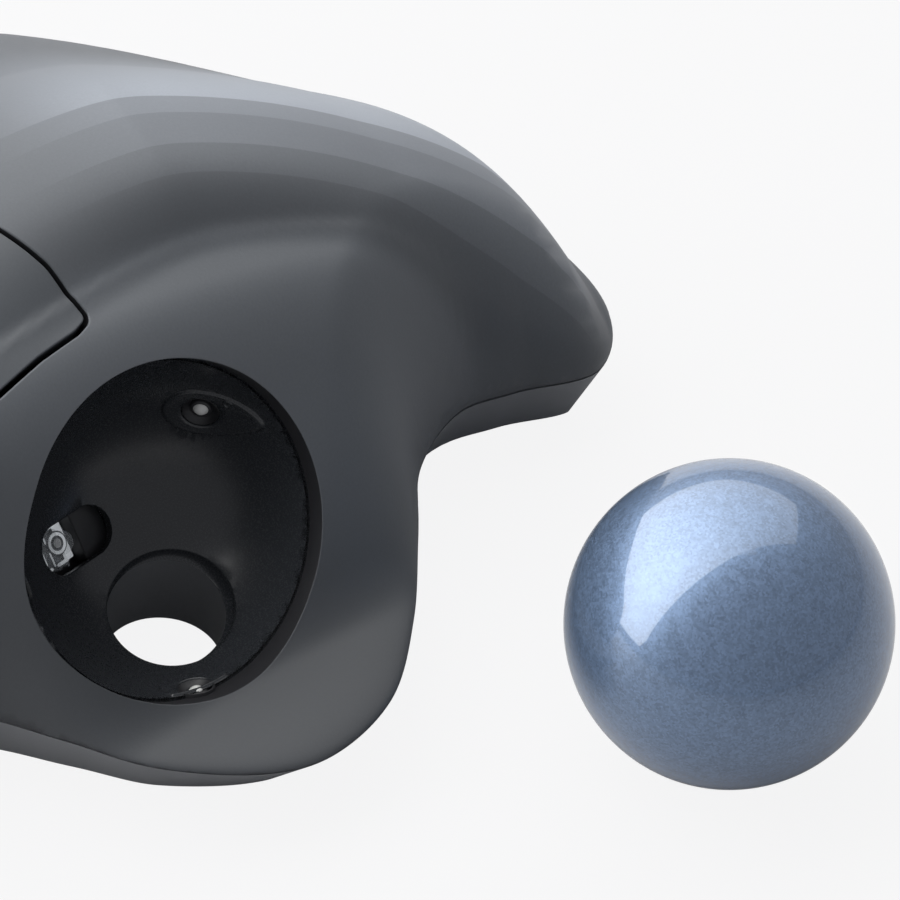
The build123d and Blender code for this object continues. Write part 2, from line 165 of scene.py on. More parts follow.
def outward(loop):
    """Unit normals of a closed plan curve, pointing away from its inside."""
    along = np.roll(loop, -1, 0) - np.roll(loop, 1, 0)
    normal = np.stack([along[:, 1], -along[:, 0]], 1)
    normal /= np.linalg.norm(normal, axis=1)[:, None] + 1e-12
    nxt = np.roll(loop, -1, 0)
    area = np.sum(loop[:, 0] * nxt[:, 1] - nxt[:, 0] * loop[:, 1])
    return normal if area > 0 else -normal


def inside(points, loop):
    hit = np.zeros(len(points), bool)
    for (ax, ay), (bx, by) in zip(loop, np.roll(loop, -1, 0)):
        if ay == by:
            continue
        cross = ((points[:, 1] < ay) != (points[:, 1] < by))
        hit ^= cross & (points[:, 0] < ax + (bx - ax) * (points[:, 1] - ay) / (by - ay))
    return hit


def gap_to(points, loop):
    """Distance from each point to a closed curve."""
    a, b = loop, np.roll(loop, -1, 0)
    best = np.full(len(points), 1e9)
    d = b - a
    long = np.maximum((d**2).sum(1), 1e-12)
    for s in range(0, len(points), 2000):
        q = points[s:s + 2000, None, :] - a[None]
        t = np.clip((q * d[None]).sum(2) / long[None], 0, 1)
        best[s:s + 2000] = np.sqrt(((q - t[..., None] * d[None]) ** 2).sum(2)).min(1)
    return best


EDGE = smooth_loop(OUTLINE, 0.9)


def skin_z(xy):
    near = np.clip(gap_to(xy, EDGE) / ROLL, 0, 1)
    return SEAM + (form(xy[:, 0], xy[:, 1]) - SEAM) * np.sqrt(np.clip(1 - (1 - near) ** 2, 0, 1))


# ---- mesh building -------------------------------------------------------------------------------
def fill(loops, keep, spacing):
    """Triangles between closed plan curves, on a grid of points. keep says which side to fill."""
    flat = np.vstack(loops)
    low, high = flat.min(0), flat.max(0)
    gx, gy = np.meshgrid(np.arange(low[0], high[0], spacing), np.arange(low[1], high[1], spacing))
    gx[1::2] += spacing / 2
    grid = np.stack([gx.ravel(), gy.ravel()], 1)
    grid = grid[keep(grid)]
    for loop in loops:
        grid = grid[gap_to(grid, loop) > spacing * 0.45]
    points = np.vstack([flat, grid])
    edges, start = [], 0
    for loop in loops:
        edges += [(start + k, start + (k + 1) % len(loop)) for k in range(len(loop))]
        start += len(loop)
    verts, _, faces, *_ = geometry.delaunay_2d_cdt([Vector(p) for p in points], edges, [], 0, 1e-5)
    verts = np.array([tuple(v) for v in verts])
    faces = np.array([f for f in faces if len(f) == 3])
    return verts, faces[keep(verts[faces].mean(1))]


def band_faces(rows, n, flip):
    """Four-sided faces that join rows of n points into a closed band."""
    faces = []
    for row in range(rows - 1):
        for k in range(n):
            a, b = row * n + k, row * n + (k + 1) % n
            quad = [a, b, b + n, a + n]
            faces.append(quad[::-1] if flip else quad)
    return faces


class Piece:
    """Collects points and faces, in millimetres, and makes one smooth-shaded object of them."""

    def __init__(self):
        self.points, self.normals, self.faces, self.marks = [], [], [], []
        self.count = 0

    def add(self, points, faces, mark=0, normals=None):
        """Adds faces on new points. mark is the material slot, one for all the faces or one for each."""
        self.points.append(points)
        self.normals.append(np.zeros_like(points) if normals is None else normals)
        self.faces += [[self.count + i for i in f] for f in faces]
        self.marks += mark if isinstance(mark, list) else [mark] * len(faces)
        self.count += len(points)

    def rings(self, rings, mark=0, flip=False):
        """Joins equal-length rings into a band."""
        self.add(np.vstack(rings), band_faces(len(rings), len(rings[0]), flip), mark)

    def cap(self, ring, flip=False, mark=0):
        faces = [list(range(len(ring)))]
        self.add(ring, [f[::-1] for f in faces] if flip else faces, mark)

    def finish(self, name, body, *nodes, materials, sharp=40, weld=1e-4):
        mesh = bpy.data.meshes.new(name)
        points = np.vstack(self.points)
        normals = np.vstack(self.normals)
        mesh.from_pydata((points * MM).tolist(), [], self.faces)
        for material in materials:
            mesh.materials.append(material)
        mesh.polygons.foreach_set("material_index", self.marks)
        obj = bpy.data.objects.new(name, mesh)
        bpy.context.scene.collection.objects.link(obj)
        work = bmesh.new()
        work.from_mesh(mesh)
        mark = work.verts.layers.float_vector.new("way")
        work.verts.ensure_lookup_table()
        for vert, normal in zip(work.verts, normals):
            vert[mark] = normal
        bmesh.ops.remove_doubles(work, verts=work.verts, dist=weld * MM)
        for face in work.faces:
            face.smooth = True
        for edge in work.edges:
            if len(edge.link_faces) == 2:
                edge.smooth = edge.calc_face_angle() < math.radians(sharp)
        held = [vert[mark].copy() for vert in work.verts]
        work.to_mesh(mesh)
        work.free()
        if any(h.length > 0.5 for h in held):
            mesh.normals_split_custom_set_from_vertices([tuple(h) for h in held])
        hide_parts(*nodes)
        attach(obj, body)
        return obj


# ---- the upper skin: a flat chart whose rolled edge is stretched out, and its place in space -----
def nearest_on_edge(points):
    a, b = EDGE, np.roll(EDGE, -1, 0)
    d = b - a
    long = np.maximum((d**2).sum(1), 1e-12)
    foot = np.empty_like(points)
    for s in range(0, len(points), 2000):
        q = points[s:s + 2000, None, :] - a[None]
        t = np.clip((q * d[None]).sum(2) / long[None], 0, 1)
        on = a[None] + t[..., None] * d[None]
        best = ((points[s:s + 2000, None, :] - on) ** 2).sum(2).argmin(1)
        foot[s:s + 2000] = on[np.arange(len(best)), best]
    return foot


def chart_to_plan(points):
    foot = nearest_on_edge(points)
    off = points - foot
    e = np.linalg.norm(off, axis=1)
    d = np.where(e < ROLL, ROLL * (1 - np.cos(np.minimum(e / ROLL, 1) * math.pi / 2)), e)
    return foot + off * (d / np.maximum(e, 1e-9))[:, None], np.minimum(e / ROLL, 1)


def plan_to_chart(points):
    foot = nearest_on_edge(points)
    off = points - foot
    d = np.linalg.norm(off, axis=1)
    e = np.where(d < ROLL, ROLL * np.arccos(np.clip(1 - d / ROLL, -1, 1)) * 2 / math.pi, d)
    return foot + off * (e / np.maximum(d, 1e-9))[:, None]


def place(chart):
    plan, e = chart_to_plan(chart)
    z = SEAM + (form(plan[:, 0], plan[:, 1]) - SEAM) * np.sin(e * math.pi / 2)
    return np.column_stack([plan, z])


def skin_normals(chart):
    step = 0.5
    du = place(chart + [step, 0]) - place(chart - [step, 0])
    dv = place(chart + [0, step]) - place(chart - [0, step])
    normal = np.cross(du, dv)
    normal /= np.linalg.norm(normal, axis=1)[:, None] + 1e-12
    return normal * np.where(normal[:, 2] < 0, -1, 1)[:, None]


def lip(loop, side, r, depth, way=None):
    """Rings of a rounded edge and its wall, from the skin in. side is 1 outside the loop and -1 inside."""
    out = outward(loop) * side
    down = -skin_normals(loop) if way is None else way
    rings = [place(loop + out * r)]
    for angle in np.linspace(0.25, 1, LIP_STEPS) * math.pi / 2:
        off, drop = r * (1 - math.sin(angle)), r * (1 - math.cos(angle))
        rings.append(place(loop + out * off) + down * drop)
    foot = place(loop)
    if depth is None:
        depth = ((foot - SEAT) @ OPEN + 2.6)[:, None]
    rings.append(foot + down * depth)
    return rings


def key_loop(points, grow, low):
    """A key's outline in the chart, its front edge following the skin at one height."""
    plan = rounded(points, 0.7, 0.4)
    plan = plan + outward(plan) * grow
    foot = nearest_on_edge(plan)
    height = np.maximum(form(foot[:, 0], foot[:, 1] - 1.0), 20)
    d = ROLL * (1 - np.sqrt(1 - ((low - SEAM) / (height - SEAM)) ** 2))
    tangent_in = -outward(EDGE)
    index = ((foot[:, None, :] - EDGE[None]) ** 2).sum(2).argmin(1)
    held = foot + tangent_in[index] * d[:, None]
    beyond = ~inside(plan, EDGE) | (gap_to(plan, EDGE) < d)
    chart = plan_to_chart(np.where(beyond[:, None], held, plan))
    return evenly(chart, 0.45)


def mouth_loop(r):
    """Where a cylinder along the socket's axis comes out through the skin, in plan."""
    e1 = np.cross(OPEN, [0, 0, 1.0])
    e1 /= np.linalg.norm(e1)
    e2 = np.cross(OPEN, e1)
    a = np.linspace(0, 2 * math.pi, 260, endpoint=False)
    base = SEAT + r * (np.cos(a)[:, None] * e1 + np.sin(a)[:, None] * e2)
    low, high = np.full(len(a), -7.0), np.full(len(a), 14.0)
    for _ in range(26):
        mid = (low + high) / 2
        p = base + mid[:, None] * OPEN
        above = p[:, 2] > skin_z(p[:, :2])
        high = np.where(above, mid, high)
        low = np.where(above, low, mid)
    return (base + low[:, None] * OPEN)[:, :2]


def rectangle(x0, x1, y0, y1, r, step=0.4):
    return rounded([(x0, y0), (x1, y0), (x1, y1), (x0, y1)], r, step)


# ---- materials -----------------------------------------------------------------------------------
class Socket:
    """A socket in a material, so that shader maths reads as plain expressions."""

    def __init__(self, tree, socket):
        self.tree, self.socket = tree, socket

    def math(self, operation, *others):
        node = self.tree.nodes.new("ShaderNodeMath")
        node.operation = operation
        for slot, value in zip(node.inputs, (self, *others)):
            plug(self.tree, slot, value)
        return Socket(self.tree, node.outputs[0])

    def __add__(self, other):
        return self.math("ADD", other)

    def __sub__(self, other):
        return self.math("SUBTRACT", other)

    def __mul__(self, other):
        return self.math("MULTIPLY", other)

    def __truediv__(self, other):
        return self.math("DIVIDE", other)

    def __rsub__(self, other):
        return (self * -1.0) + other

    __radd__ = __add__
    __rmul__ = __mul__


def plug(tree, slot, value):
    if isinstance(value, Socket):
        tree.links.new(value.socket, slot)
    else:
        slot.default_value = value


class Paint:
    """A material with one main shader, built a node at a time."""

    def __init__(self, name):
        self.material = bpy.data.materials.new(name)
        self.material.use_nodes = True
        self.tree = self.material.node_tree
        self.shader = self.tree.nodes["Principled BSDF"]

    def node(self, kind, output=0, settings=(), **values):
        node = self.tree.nodes.new(kind)
        for key, value in dict(settings).items():
            setattr(node, key, value)
        for key, value in values.items():
            plug(self.tree, node.inputs[int(key[1:]) if key[0] == "_" else key.replace("_", " ")], value)
        return Socket(self.tree, node.outputs[output])

    def place(self):
        return self.node("ShaderNodeTexCoord", "Object")

    def noise(self, scale, detail=2.0, rough=0.5, where=None):
        return self.node("ShaderNodeTexNoise", "Fac", Vector=where or self.place(),
                         Scale=scale, Detail=detail, Roughness=rough)

    def mix(self, amount, a, b):
        return self.node("ShaderNodeMix", 2, {"data_type": "RGBA"}, _0=amount, _6=a, _7=b)

    def axis(self, which, where=None):
        return self.node("ShaderNodeSeparateXYZ", which, Vector=where or self.place())

    def ramp(self, value, low, high, to_low=0.0, to_high=1.0):
        smooth = {"interpolation_type": "SMOOTHSTEP"}
        return self.node("ShaderNodeMapRange", 0, smooth, Value=value, _1=low, _2=high, _3=to_low, _4=to_high)

    def set(self, **values):
        for key, value in values.items():
            plug(self.tree, self.shader.inputs[key.replace("_", " ")], value)
        return self

    def scaled(self, colour, amount):
        return self.node("ShaderNodeVectorMath", 0, {"operation": "SCALE"}, _0=colour, Scale=amount)

    def bump(self, height, strength, distance):
        bumped = self.node("ShaderNodeBump", 0, Height=height, Strength=strength, Distance=distance)
        return self.set(Normal=bumped)


def rgb(r, g, b):
    return (r, g, b, 1.0)


def moulded(name, colour, rough, grain=900.0, speck=0.25, depth=0.15):
    """Moulded plastic with a fine speckle and a fine spark-eroded texture."""
    paint = Paint(name)
    fine = paint.noise(grain * 4, 2.0, 0.6)
    cloud = paint.noise(35.0, 2.0)
    tone = (fine - 0.5) * speck + (cloud - 0.5) * 0.06 + 1.0
    shade = paint.tone = paint.scaled(colour[:3], tone)
    paint.set(Base_Color=shade, Roughness=rough + (fine - 0.5) * 0.08)
    paint.bump(paint.noise(grain * 3, 1.0), depth, 0.00005)
    return paint


def painted_highlights_and_shade(paint, base):
    """Painted light on the palm rest: a painted highlight that lightens towards the crown in sharp-edged
    steps following the crease, painted shade in a darker band above the crease, and painted shade on the
    thumb shelf, darker down and away from the keys."""
    where = paint.place()
    x, y, z = (paint.axis(k, where) * 1000.0 for k in ("X", "Y", "Z"))
    behind = (y + 22.0).math("MINIMUM", 0.0)
    ahead = (y + 22.0).math("MAXIMUM", 0.0)
    crease = -5.0 - behind * behind * 0.0045 - ahead * ahead * 0.36 / (ahead + 12.0)
    along = x - crease - (y + 30.0) * 0.09
    # Painted highlight: steps of lighter colour that stand for stepped reflections of the light.
    highlight_steps = 1.0
    for start, amount in ((4.7, 0.22), (8.5, 0.40), (13.7, 0.45), (17.2, 1.2)):
        step = paint.ramp(along, start, start + 0.12) * amount
        highlight_steps = step + highlight_steps
    fade = paint.ramp(y, 2.0, -26.0) * paint.ramp(x, 34.0, 12.0) * paint.ramp(z, 12.0, 18.0)
    # Painted shade in a dark band just above the crease.
    crease_shade = paint.ramp(along, -1.5, 1.0) * paint.ramp(along, 8.0, 1.5) * 0.20
    # Painted shade on the thumb shelf: darker the lower it lies along the camera's up direction and the
    # further out from the crease.
    height = x * LENS_UP[0] + y * LENS_UP[1] + z * LENS_UP[2]
    shelf = paint.ramp(height, 16.0, -14.0) * paint.ramp(along, 1.0, -6.0) * 0.48
    tone = paint.scaled(base, (highlight_steps - 1.0) * fade - crease_shade - shelf + 1.0)
    paint.set(Base_Color=tone, Specular_IOR_Level=0.4)


UPPER = moulded("upper case plastic", rgb(0.068, 0.0735, 0.082), 0.50)
# The upper case's colour carries the painted highlight steps and painted shade.
painted_highlights_and_shade(UPPER, UPPER.tone)
KEYS = moulded("key plastic", rgb(0.050, 0.055, 0.062), 0.48)
LOWER = moulded("lower case plastic", rgb(0.13, 0.134, 0.142), 0.45)
# Black plastic of the inner parts, also used as painted shade on the upper case's cut walls.
INNER_AND_SHADE = moulded("black inner plastic and painted shade", rgb(0.012, 0.012, 0.014), 0.5)
BOWL = moulded("bowl plastic", rgb(0.020, 0.022, 0.025), 0.27, grain=1500, speck=0.1, depth=0.03)
RUBBER = moulded("tyre rubber", rgb(0.02, 0.02, 0.022), 0.7)
FOOT = moulded("slick foot", rgb(0.03, 0.03, 0.033), 0.3)
STEEL = moulded("plated steel", rgb(0.62, 0.62, 0.64), 0.3, speck=0.05).set(Metallic=1.0)
BOARD = moulded("board", rgb(0.02, 0.10, 0.05), 0.35)
CELL = moulded("battery sleeve", rgb(0.30, 0.31, 0.33), 0.35).set(Metallic=0.6)
BEARING = moulded("polished ceramic", rgb(0.60, 0.60, 0.58), 0.15, speck=0.02, depth=0.0)
GLOWING_WHITE = moulded("white plate", rgb(0.85, 0.85, 0.84), 0.4)
# Painted light: a faint glow brightens the white plate behind the clear lens.
GLOWING_WHITE.set(Emission_Color=rgb(0.8, 0.85, 0.9), Emission_Strength=0.30)
CLEAR = moulded("clear lens", rgb(0.80, 0.83, 0.86), 0.05, speck=0.01, depth=0.0)
CLEAR.set(Alpha=0.12, Coat_Weight=1.0, Coat_Roughness=0.02)
LIGHT_PIPE = moulded("light pipe", rgb(0.5, 0.52, 0.53), 0.2)


def pearl():
    """Blue-grey pearl paint under a thick clear coat."""
    paint = Paint("ball pearl")
    where = paint.place()
    flake = paint.node("ShaderNodeTexVoronoi", "Color", {"feature": "F1"}, Vector=where, Scale=4200.0)
    spark = paint.node("ShaderNodeSeparateColor", 0, Color=flake)
    cloud = paint.noise(900.0, 3.0, 0.6, where)
    tone = (spark - 0.5) * 0.35 + (cloud - 0.5) * 0.5 + 1.0
    shade = paint.scaled((0.125, 0.185, 0.29), tone)
    paint.set(Base_Color=shade, Metallic=0.6, Roughness=0.40 + (spark - 0.5) * 0.1, Coat_Weight=1.0,
              Coat_Roughness=0.015)
    return paint


PEARL = pearl()


# ---- upper case and keys -------------------------------------------------------------------------
def skin_lip(piece, loop, side, r, depth, mark=0, way=None):
    """Adds a lip, its wall in slot mark, and returns its first ring, which the skin is filled up to."""
    rings = lip(loop, side, r, depth, way)
    first = loop + outward(loop) * side * r
    up = skin_normals(first)
    a, b, c = rings[0][0], rings[0][1], rings[1][0]
    flip = np.cross(b - a, c - a).dot(up[0]) < 0
    n = len(loop)
    faces = band_faces(len(rings), n, flip)
    normals = np.zeros((n * len(rings), 3))
    normals[:n] = up
    on_edge = LIP_STEPS * n
    piece.add(np.vstack(rings), faces, [0] * on_edge + [mark] * (len(faces) - on_edge), normals)
    return first


def add_skin(piece, loops, keep, spacing=0.75):
    chart, faces = fill(loops, keep, spacing)
    normals = skin_normals(chart)
    normals[gap_to(chart, EDGE) < 0.35] = 0
    piece.add(place(chart), faces.tolist(), 0, normals)


def build_upper():
    low = KEY_LIP - KEY_DROP
    cuts = {
        "left": (key_loop(LEFT_KEY, GAP, low), 0.2, 2.2, None),
        "right": (key_loop(RIGHT_KEY, GAP, low), 0.2, 2.2, None),
        "wheel": (plan_to_chart(rectangle(11.15, 18.85, 20.6, 45.4, 1.2)), 0.2, 2.2, None),
        "mouth": (plan_to_chart(mouth_loop(MOUTH_R)), 0.08, None, -OPEN),
        "light": (plan_to_chart(smooth_loop(
            [(LIGHT[0] + 1.2 * math.cos(t), LIGHT[1] + 1.2 * math.sin(t))
             for t in np.linspace(0, 2 * math.pi, 12, endpoint=False)], 0.3)), 0.1, 1.0, None),
    }
    for name, (y0, y1) in SIDE_KEYS.items():
        plan = rectangle(SIDE_KEY_X[0] - GAP, SIDE_KEY_X[1] + GAP, y0 - GAP, y1 + GAP, 1.5)
        cuts[name] = (plan_to_chart(plan), 0.2, 2.0, None)
    case = Piece()
    # The cut walls take slot 1, the black plastic: painted shade for the shadow inside the key gaps, the
    # slots and the socket's mouth.
    firsts = [skin_lip(case, loop, 1, r, depth, 1, way) for loop, r, depth, way in cuts.values()]
    hem = EDGE - outward(EDGE) * 0.06
    add_skin(case, [hem, *firsts], lambda p: inside(p, hem) & ~np.any([inside(p, f) for f in firsts], axis=0))
    rim = [place(hem), np.column_stack([EDGE - outward(EDGE) * 0.1, np.full(len(EDGE), 10.06)]),
           np.column_stack([EDGE - outward(EDGE) * 1.2, np.full(len(EDGE), 10.06)])]
    case.rings(rim)
    case.finish("upper_case", "case", "top_shell", materials=[UPPER.material, INNER_AND_SHADE.material])


def build_key(name, body, loop, r=0.2, depth=2.4):
    key = Piece()
    first = skin_lip(key, loop, -1, r, depth)
    add_skin(key, [first], lambda p: inside(p, first))
    key.finish(name + "_cap", body, name, materials=[KEYS.material])


build_upper()
build_key("left_button", "left_key", key_loop(LEFT_KEY, 0, KEY_LIP))
build_key("right_button", "right_key", key_loop(RIGHT_KEY, 0, KEY_LIP))
for side_name, (side_y0, side_y1) in SIDE_KEYS.items():
    build_key(side_name, side_name.replace("button", "key"),
              plan_to_chart(rectangle(SIDE_KEY_X[0], SIDE_KEY_X[1], side_y0, side_y1, 1.1)))


# ---- socket: a flat chart of the sphere, centred on its deepest point ----------------------------
SIDE_1 = np.cross(OPEN, [0, 0, 1.0])
SIDE_1 /= np.linalg.norm(SIDE_1)
SIDE_2 = np.cross(OPEN, SIDE_1)
BEARINGS = {
    "upper": np.array([14.5, -9.8, -0.3]),
    "lower": np.array([-7.97, 0.66, -15.6]),
    "front": np.array([5.5, 14.5, -8.0]),
}
BEARINGS = {name: way / np.linalg.norm(way) for name, way in BEARINGS.items()}
EYE = np.array([0.697, 0.291, -0.657])
EYE /= np.linalg.norm(EYE)
EYE_LONG = np.array([0.339, -0.939, -0.056])


def sphere_to_chart(ways):
    angle = np.arccos(np.clip(ways @ -OPEN, -1, 1))
    flat = np.column_stack([ways @ SIDE_1, ways @ SIDE_2])
    return flat / np.maximum(np.linalg.norm(flat, axis=1), 1e-9)[:, None] * (angle * BOWL_R)[:, None]


def chart_to_sphere(chart):
    far = np.linalg.norm(chart, axis=1)
    angle = far / BOWL_R
    flat = chart / np.maximum(far, 1e-9)[:, None]
    side = flat[:, :1] * SIDE_1 + flat[:, 1:] * SIDE_2
    return np.cos(angle)[:, None] * -OPEN + np.sin(angle)[:, None] * side


def frame_at(way, long=None):
    """Two directions across a direction, the first as near as can be to a given one."""
    long = LENS_SIDE if long is None else long
    first = long - long.dot(way) * way
    first /= np.linalg.norm(first)
    return first, np.cross(way, first)


def curve_on_sphere(way, outline, long=None):
    """Directions to a closed curve drawn round a direction, given in millimetres across it."""
    first, second = frame_at(way, long)
    ways = way + (outline[:, :1] * first + outline[:, 1:] * second) / BOWL_R
    return ways / np.linalg.norm(ways, axis=1)[:, None]


def circle(r, count=64):
    a = np.linspace(0, 2 * math.pi, count, endpoint=False)
    return np.column_stack([r * np.cos(a), r * np.sin(a)])


def stadium(length, width, count=96):
    a = np.linspace(0, 2 * math.pi, count, endpoint=False)
    half = (length - width) / 2
    return np.column_stack([np.cos(a) * width / 2 + np.sign(np.cos(a)) * half, np.sin(a) * width / 2])


def egg(left, right, tall, count=110):
    """Boss outline, drawn out to one side."""
    a = np.linspace(0, 2 * math.pi, count, endpoint=False)
    x = np.where(np.cos(a) > 0, right, left) * np.cos(a)
    return np.column_stack([x, tall * np.sin(a) * (1 - 0.25 * np.clip(x / right, 0, 1) ** 2)])


def hole_ring(r, shift=(0.0, 0.0), count=96):
    """Directions to where an upright round hole meets the bowl."""
    flat = circle(r, count) + HOLE + shift - SEAT[:2]
    z = -np.sqrt(BOWL_R**2 - (flat**2).sum(1))
    return np.column_stack([flat, z]) / BOWL_R


BORE_R = 6.15
BORE_SHIFT = (0.2, 0.4)


def level(ways, r):
    """Points at a distance from the seat's centre; r may differ from point to point."""
    return SEAT + ways * np.reshape(r, (-1, 1))


def bowl_bands(piece, rings):
    """Rings from the bowl's skin into a recess or boss, with the faces turned towards the seat's centre."""
    first = rings[0]
    flip = np.cross(first[1] - first[0], rings[1][0] - first[0]).dot(SEAT - first[0]) < 0
    piece.rings(rings, flip=flip)


def blended(a, b, t):
    mid = a * (1 - t) + b * t
    return mid / np.linalg.norm(mid, axis=1)[:, None]


def held_in(ways, limit):
    """Directions kept within a distance of the bowl's deepest point."""
    chart = sphere_to_chart(ways)
    far = np.linalg.norm(chart, axis=1)
    return chart_to_sphere(chart * (np.minimum(far, limit) / far)[:, None])


def build_bowl():
    bowl = Piece()
    limit = BOWL_R * math.acos(2.4 / BOWL_R)
    rim = circle(limit, 220)
    shapes = {
        "upper": (BEARINGS["upper"], egg(4.2, 7.6, 3.3)),
        "lower": (BEARINGS["lower"], egg(4.0, 4.6, 3.0)),
        "front": (BEARINGS["front"], egg(3.6, 3.6, 3.0)),
    }
    loops = [rim]
    for name, (way, outline) in shapes.items():
        outer = curve_on_sphere(way, outline)
        inner = curve_on_sphere(way, outline * 0.93)
        cup = curve_on_sphere(way, circle(2.12, 110))
        cup_2 = curve_on_sphere(way, circle(2.02, 110))
        outer, inner, cup, cup_2 = (held_in(ring, limit - room) for ring, room in
                                    ((outer, 0.12), (inner, 0.24), (cup, 0.36), (cup_2, 0.48)))
        raised = BOWL_R - 0.28
        bowl_bands(bowl, [level(outer, BOWL_R), level(blended(outer, inner, 0.35), BOWL_R - 0.06),
                          level(blended(outer, inner, 0.7), BOWL_R - 0.2), level(inner, raised)])
        steps = [level(blended(inner, cup, t), raised) for t in np.linspace(0, 1, 6)]
        bowl_bands(bowl, steps + [level(cup_2, raised + 0.1), level(cup_2, raised + 1.2)])
        loops.append(sphere_to_chart(outer))
    hole = hole_ring(6.72)
    mouth = hole_ring(6.6)
    neck = level(mouth, BOWL_R)
    drop = np.array([0, 0, -1.0])
    bowl_bands(bowl, [level(hole, BOWL_R), level(hole_ring(6.63), BOWL_R + 0.03), neck + drop * 0.15,
                      neck + drop * 0.9, level(hole_ring(BORE_R, BORE_SHIFT), BOWL_R) + drop * 0.95])
    loops.append(sphere_to_chart(hole))
    window = curve_on_sphere(EYE, stadium(10.0, 5.6), EYE_LONG)
    window_in = curve_on_sphere(EYE, stadium(9.7, 5.3), EYE_LONG)
    bowl_bands(bowl, [level(window, BOWL_R), level(blended(window, window_in, 0.6), BOWL_R + 0.06),
                      level(window_in, BOWL_R + 0.22), level(window_in, BOWL_R + 1.5)])
    loops.append(sphere_to_chart(window))

    def keep(p):
        return inside(p, rim) & ~np.any([inside(p, loop) for loop in loops[1:]], axis=0)

    chart, faces = fill(loops, keep, 0.9)
    ways = chart_to_sphere(chart)
    bowl.add(level(ways, BOWL_R), faces.tolist(), 0, -ways)
    edge = chart_to_sphere(rim)
    bowl_bands(bowl, [level(edge, BOWL_R), level(edge, BOWL_R + 0.4)])
    along, across = frame_at(BEARINGS["upper"])
    pip = BEARINGS["upper"] * BOWL_R + along * 3.0 - across * 1.9
    pip /= np.linalg.norm(pip)
    lathe(bowl, SEAT, pip, [(17.3, 0.62), (17.12, 0.56), (17.1, 0.36), (17.3, 0.28), (17.4, 0.02)], 32)
    bowl.finish("socket_bowl", "case", "ball_socket", materials=[BOWL.material], sharp=50)


def lathe(piece, at, way, profile, count=72, mark=0):
    """Turned shape from (distance along, radius) steps."""
    first, second = frame_at(way, np.array([0.0, 0.0, 1.0]) if abs(way[2]) < 0.9 else np.array([1.0, 0, 0]))
    a = np.linspace(0, 2 * math.pi, count, endpoint=False)
    round_way = np.cos(a)[:, None] * first + np.sin(a)[:, None] * second
    rings = [at + way * d + round_way * r for d, r in profile]
    piece.rings(rings, flip=True, mark=mark)


def build_bearings():
    for name, way in BEARINGS.items():
        cup = Piece()
        lathe(cup, SEAT, way, [
            (20.4, 1.98), (17.5, 1.98), (17.28, 1.96), (17.24, 1.88), (17.95, 1.3), (17.98, 1.2),
            (17.66, 1.12), (17.56, 1.04), (17.54, 0.80), (17.7, 0.76), (20.4, 0.7), (20.4, 1.98)])
        seat, node = f"bearing_seat_{name}", f"bearing_cup_{name}"
        cup.finish(seat, "case", node, materials=[INNER_AND_SHADE.material], sharp=50)
        ball = Piece()
        turns = np.linspace(0.001, math.pi - 0.001, 25)
        arc = [(-BEAD_R * math.cos(t), BEAD_R * math.sin(t)) for t in turns]
        lathe(ball, SEAT + way * 18.1, way, arc, 40)
        bead, node = f"bearing_bead_{name}", f"bearing_ball_{name}"
        ball.finish(bead, "case", node, materials=[BEARING.material], weld=0.01)


def block(piece, centre, axes, size, r=0.0, mark=0):
    """Rectangular block on its own axes, its upright edges rounded."""
    x, y, z = (np.array(a) for a in axes)
    half = np.array(size) / 2
    plan = rounded([(-half[0], -half[1]), (half[0], -half[1]), (half[0], half[1]), (-half[0], half[1])],
                   max(r, 0.02), 0.2)
    soft = min(0.12, half[2] / 2)
    scale = 1 - soft / half[:2].min()
    rings = []
    for level_z, k in ((-half[2], scale), (-half[2] + soft, 1), (half[2] - soft, 1), (half[2], scale)):
        rings.append(centre + plan[:, :1] * x * k + plan[:, 1:] * y * k + z * level_z)
    piece.rings(rings, mark=mark)
    piece.cap(rings[0], flip=True, mark=mark)
    piece.cap(rings[-1], mark=mark)


